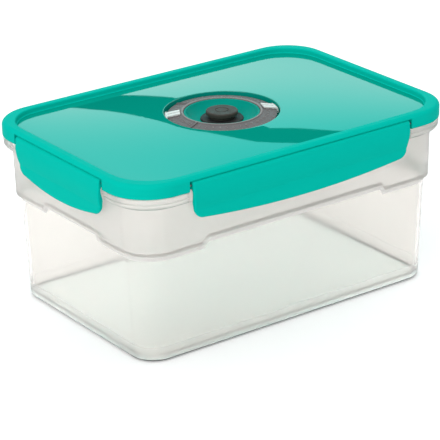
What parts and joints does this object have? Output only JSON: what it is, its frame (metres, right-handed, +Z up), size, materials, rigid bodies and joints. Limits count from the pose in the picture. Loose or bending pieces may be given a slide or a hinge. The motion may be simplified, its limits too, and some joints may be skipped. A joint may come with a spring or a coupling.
{
  "type": "vacuum seal canister",
  "caption": "Rectangular food canister: translucent tub, teal lid held down by hinged side latches, with a lift-up vacuum valve inside a date dial with sliding pointers.",
  "frame": {"origin": "on the ground, under the middle of the tub", "axes": "+X along the long side, -Y towards the long front, +Z up"},
  "size_m": [0.2084, 0.1444, 0.1],
  "materials": {
    "tub_plastic": "frosted, translucent",
    "lid_plastic": "gloss",
    "silicone": "satin",
    "dial_plastic": "satin",
    "pointer_plastic": "satin",
    "knob_plastic": "satin",
    "valve_rubber": "matte",
    "pin_steel": "drawn wire"
  },
  "bodies": {
    "tub": {"tub": "tub_plastic"},
    "lid": {"lid": "lid_plastic", "lid_gasket": "silicone", "dial_ring": "dial_plastic", "hinge_pin_front": "pin_steel", "hinge_pin_right": "pin_steel", "hinge_pin_back": "pin_steel", "hinge_pin_left": "pin_steel"},
    "latch_front": {"latch_front": "lid_plastic"},
    "latch_right": {"latch_right": "lid_plastic"},
    "latch_back": {"latch_back": "lid_plastic"},
    "latch_left": {"latch_left": "lid_plastic"},
    "month_pointer": {"month_pointer": "pointer_plastic"},
    "day_pointer": {"day_pointer": "pointer_plastic"},
    "valve": {"valve_knob": "knob_plastic", "valve_seal": "valve_rubber", "valve_retainer": "knob_plastic"}
  },
  "joints": [
    {"name": "lid_lift", "type": "slide", "parent": "tub", "child": "lid", "axis": [0, 0, 1], "range_m": [0, 0.03]},
    {"name": "latch_front_swing", "type": "hinge", "parent": "lid", "child": "latch_front", "pos_m": [0, -0.06975, 0.0954], "axis": [-1, 0, 0], "range_deg": [-4, 90]},
    {"name": "latch_right_swing", "type": "hinge", "parent": "lid", "child": "latch_right", "pos_m": [0.10175, 0, 0.0954], "axis": [0, -1, 0], "range_deg": [-4, 90]},
    {"name": "latch_back_swing", "type": "hinge", "parent": "lid", "child": "latch_back", "pos_m": [0, 0.06975, 0.0954], "axis": [1, 0, 0], "range_deg": [-4, 90]},
    {"name": "latch_left_swing", "type": "hinge", "parent": "lid", "child": "latch_left", "pos_m": [-0.10175, 0, 0.0954], "axis": [0, 1, 0], "range_deg": [-4, 90]},
    {"name": "month_pointer_turn", "type": "hinge", "parent": "lid", "child": "month_pointer", "pos_m": [0, 0, 0.0957], "axis": [0, 0, 1], "range_deg": [-29, 37]},
    {"name": "day_pointer_turn", "type": "hinge", "parent": "lid", "child": "day_pointer", "pos_m": [0, 0, 0.0957], "axis": [0, 0, 1], "range_deg": [-131, 119]},
    {"name": "valve_lift", "type": "slide", "parent": "lid", "child": "valve", "axis": [0, 0, 1], "range_m": [0, 0.0025]}
  ]
}
